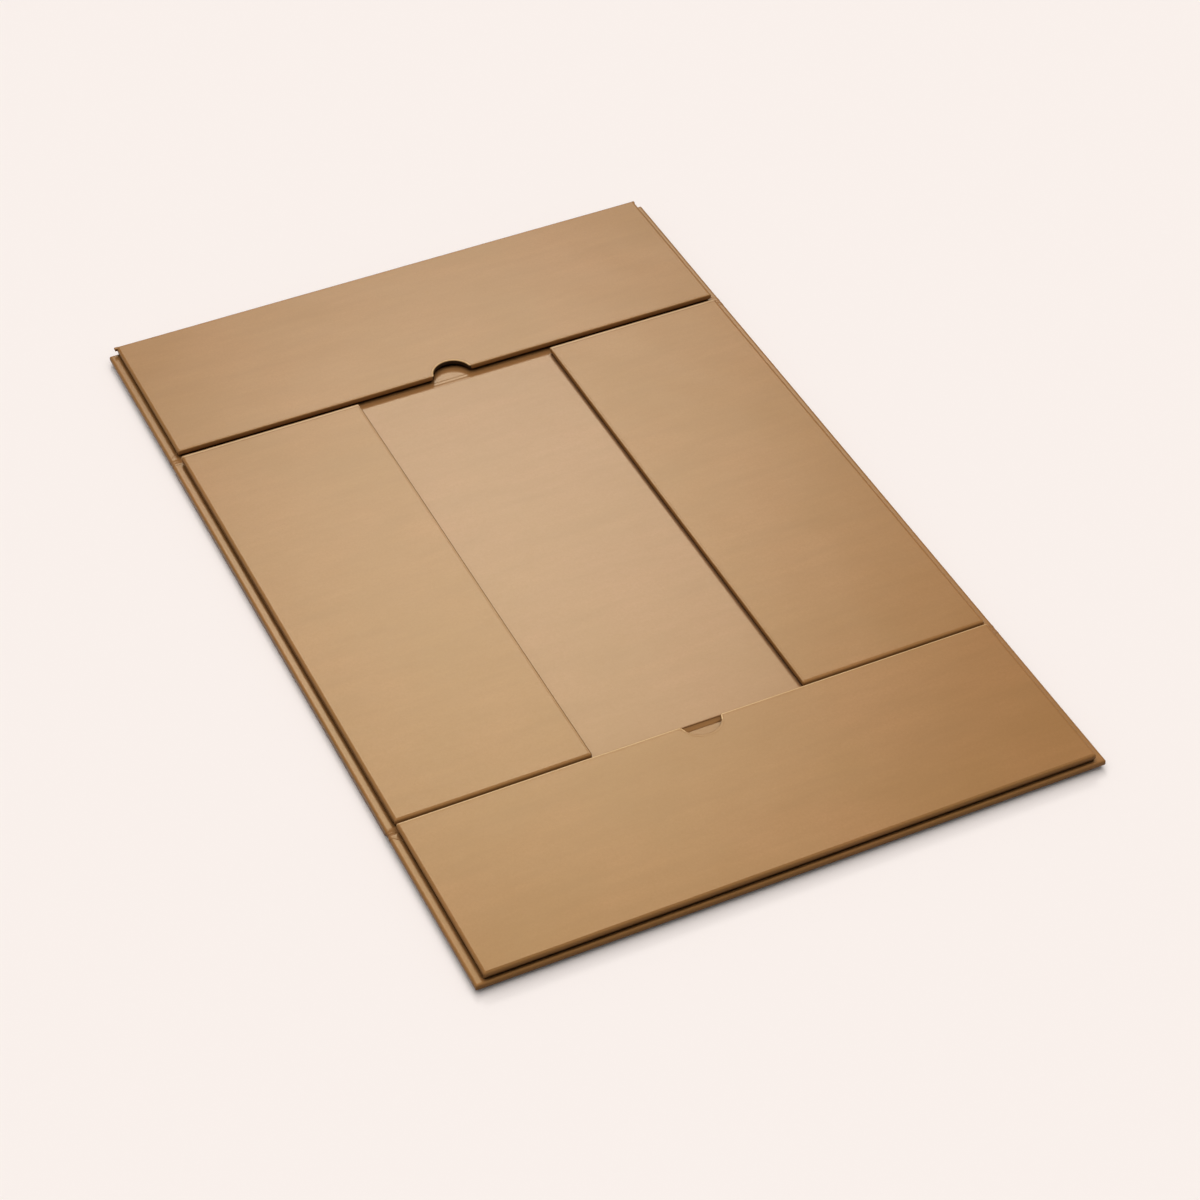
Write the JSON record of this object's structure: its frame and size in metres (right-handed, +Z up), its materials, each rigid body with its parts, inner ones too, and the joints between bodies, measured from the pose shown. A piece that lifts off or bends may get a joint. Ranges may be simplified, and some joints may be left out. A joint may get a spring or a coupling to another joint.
{
  "type": "storage box",
  "caption": "Collapsible rigid storage box of paper-covered board, opened flat: fold-up end and side walls, and fold-over rim panels with thumb notches.",
  "frame": {"origin": "on the floor under the middle of the base, with the box opened flat", "axes": "+Y from the near end wall to the far end wall, +X to the right, +Z up out of the open box"},
  "size_m": [0.3, 0.4734, 0.0093],
  "materials": {
    "covered_board": "satin",
    "kraft_paper": "satin"
  },
  "bodies": {
    "base": {"base_board": "covered_board", "base_underlay": "covered_board", "inner_base_panel": "covered_board", "far_base_hinge": "kraft_paper", "near_base_hinge": "kraft_paper", "left_side_hinge": "kraft_paper", "right_side_hinge": "kraft_paper"},
    "far_wall": {"far_end_wall": "covered_board", "far_rim_hinge": "kraft_paper"},
    "near_wall": {"near_end_wall": "covered_board", "near_rim_hinge": "kraft_paper"},
    "left_wall": {"left_side_wall": "covered_board", "left_side_cover": "kraft_paper"},
    "right_wall": {"right_side_wall": "covered_board", "right_side_cover": "kraft_paper"},
    "far_panel": {"far_rim_panel": "covered_board", "far_rim_lining": "kraft_paper"},
    "near_panel": {"near_rim_panel": "covered_board", "near_rim_lining": "kraft_paper"}
  },
  "joints": [
    {"name": "far_wall_fold", "type": "hinge", "parent": "base", "child": "far_wall", "pos_m": [0, 0.1411, 0.0065], "axis": [1, 0, 0], "range_deg": [0, 90]},
    {"name": "near_wall_fold", "type": "hinge", "parent": "base", "child": "near_wall", "pos_m": [0, -0.1411, 0.0065], "axis": [-1, 0, 0], "range_deg": [0, 90]},
    {"name": "left_wall_fold", "type": "hinge", "parent": "base", "child": "left_wall", "pos_m": [-0.1453, 0, 0.006], "axis": [0, -1, 0], "range_deg": [0, 90]},
    {"name": "right_wall_fold", "type": "hinge", "parent": "base", "child": "right_wall", "pos_m": [0.1453, 0, 0.006], "axis": [0, 1, 0], "range_deg": [0, 90]},
    {"name": "far_panel_fold", "type": "hinge", "parent": "far_wall", "child": "far_panel", "pos_m": [0, 0.2372, 0.0055], "axis": [-1, 0, 0], "range_deg": [0, 180]},
    {"name": "near_panel_fold", "type": "hinge", "parent": "near_wall", "child": "near_panel", "pos_m": [0, -0.2366, 0.0055], "axis": [1, 0, 0], "range_deg": [0, 180]}
  ]
}
